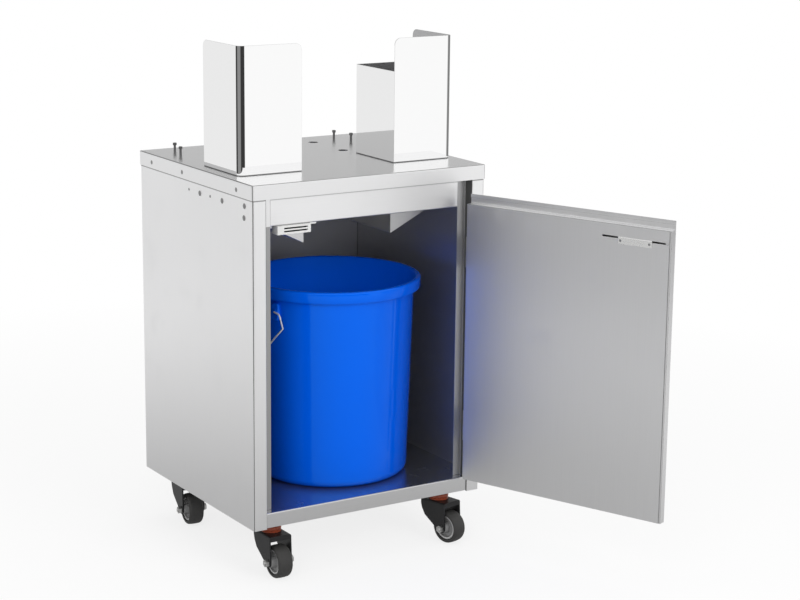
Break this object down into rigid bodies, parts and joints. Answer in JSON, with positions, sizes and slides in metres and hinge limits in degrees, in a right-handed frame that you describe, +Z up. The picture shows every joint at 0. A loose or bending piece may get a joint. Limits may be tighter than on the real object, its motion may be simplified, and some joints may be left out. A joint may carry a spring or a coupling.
{
  "type": "mobile base cabinet",
  "caption": "Stainless mobile cabinet for a counter-top juicer: inset door, peel chutes through the worktop, deflectors, waste bucket and swivel casters.",
  "frame": {"origin": "on the floor under the middle of the cabinet body", "axes": "+Z up, the door side faces -Y, the door hinges on the +X side"},
  "size_m": [0.6329, 0.8839, 0.9913],
  "materials": {
    "stainless": "satin stainless sheet",
    "mirror_stainless": "mirror-polished stainless sheet",
    "zinc": "bright zinc plate",
    "white_plastic": "moulded",
    "blue_plastic": "moulded, slightly glossy",
    "black_steel": "black coating",
    "swivel_seal": "red-brown moulded",
    "wheel_plastic": "moulded",
    "tyre_rubber": "matt"
  },
  "bodies": {
    "cabinet": {"top_plate": "stainless", "left_side_panel": "stainless", "right_side_panel": "stainless", "back_panel": "stainless", "base_tray": "stainless", "front_caster_channel": "stainless", "rear_caster_channel": "stainless", "header_rail": "stainless", "left_deflector": "stainless", "right_deflector": "stainless", "left_chute": "mirror_stainless", "right_chute": "mirror_stainless", "magnetic_catch": "white_plastic", "locating_stud_1": "zinc", "locating_stud_2": "zinc", "locating_stud_3": "zinc", "locating_stud_4": "zinc", "upper_hinge_fixed_leaf": "zinc", "lower_hinge_fixed_leaf": "zinc", "upper_hinge_pin": "zinc", "lower_hinge_pin": "zinc", "front_left_caster_plate": "black_steel", "front_left_swivel_ring": "swivel_seal", "front_right_caster_plate": "black_steel", "front_right_swivel_ring": "swivel_seal", "rear_left_caster_plate": "black_steel", "rear_left_swivel_ring": "swivel_seal", "rear_right_caster_plate": "black_steel", "rear_right_swivel_ring": "swivel_seal"},
    "door": {"door_pan": "stainless", "door_liner": "stainless", "keeper_plate": "zinc", "upper_hinge_door_leaf": "zinc", "lower_hinge_door_leaf": "zinc"},
    "bucket_body": {"bucket": "blue_plastic"},
    "bail": {"bail_handle": "zinc"},
    "front_left_swivel": {"front_left_fork": "black_steel", "front_left_axle_bolt": "zinc", "front_left_axle_nut": "zinc"},
    "front_left_wheel": {"front_left_wheel_rim": "wheel_plastic", "front_left_tyre": "tyre_rubber"},
    "front_right_swivel": {"front_right_fork": "black_steel", "front_right_axle_bolt": "zinc", "front_right_axle_nut": "zinc"},
    "front_right_wheel": {"front_right_wheel_rim": "wheel_plastic", "front_right_tyre": "tyre_rubber"},
    "rear_left_swivel": {"rear_left_fork": "black_steel", "rear_left_axle_bolt": "zinc", "rear_left_axle_nut": "zinc"},
    "rear_left_wheel": {"rear_left_wheel_rim": "wheel_plastic", "rear_left_tyre": "tyre_rubber"},
    "rear_right_swivel": {"rear_right_fork": "black_steel", "rear_right_axle_bolt": "zinc", "rear_right_axle_nut": "zinc"},
    "rear_right_wheel": {"rear_right_wheel_rim": "wheel_plastic", "rear_right_tyre": "tyre_rubber"}
  },
  "joints": [
    {"name": "door_hinge", "type": "hinge", "parent": "cabinet", "child": "door", "pos_m": [0.2205, -0.236, 0.41], "axis": [0, 0, 1], "range_deg": [-112, 63]},
    {"name": "bucket_slide", "type": "slide", "parent": "cabinet", "child": "bucket_body", "axis": [0, -1, 0], "range_m": [0, 0.55]},
    {"name": "bail_hinge", "type": "hinge", "parent": "bucket_body", "child": "bail", "pos_m": [0.0275, -0.0365, 0.4808], "axis": [0.9397, 0.342, 0], "range_deg": [0, 75]},
    {"name": "front_left_swivel_turn", "type": "hinge", "parent": "cabinet", "child": "front_left_swivel", "pos_m": [-0.189, -0.185, 0.09], "axis": [0, 0, 1], "continuous": true},
    {"name": "front_left_wheel_spin", "type": "hinge", "parent": "front_left_swivel", "child": "front_left_wheel", "pos_m": [-0.189, -0.2145, 0.03175], "axis": [1, 0, 0], "continuous": true},
    {"name": "front_right_swivel_turn", "type": "hinge", "parent": "cabinet", "child": "front_right_swivel", "pos_m": [0.189, -0.185, 0.09], "axis": [0, 0, 1], "continuous": true},
    {"name": "front_right_wheel_spin", "type": "hinge", "parent": "front_right_swivel", "child": "front_right_wheel", "pos_m": [0.19594, -0.21367, 0.03175], "axis": [0.972, 0.2351, 0], "continuous": true},
    {"name": "rear_left_swivel_turn", "type": "hinge", "parent": "cabinet", "child": "rear_left_swivel", "pos_m": [-0.189, 0.171, 0.09], "axis": [0, 0, 1], "continuous": true},
    {"name": "rear_left_wheel_spin", "type": "hinge", "parent": "rear_left_swivel", "child": "rear_left_wheel", "pos_m": [-0.19208, 0.14166, 0.03175], "axis": [0.9945, -0.1045, 0], "continuous": true},
    {"name": "rear_right_swivel_turn", "type": "hinge", "parent": "cabinet", "child": "rear_right_swivel", "pos_m": [0.189, 0.171, 0.09], "axis": [0, 0, 1], "continuous": true},
    {"name": "rear_right_wheel_spin", "type": "hinge", "parent": "rear_right_swivel", "child": "rear_right_wheel", "pos_m": [0.19157, 0.14161, 0.03175], "axis": [0.9962, 0.0872, 0], "continuous": true}
  ]
}
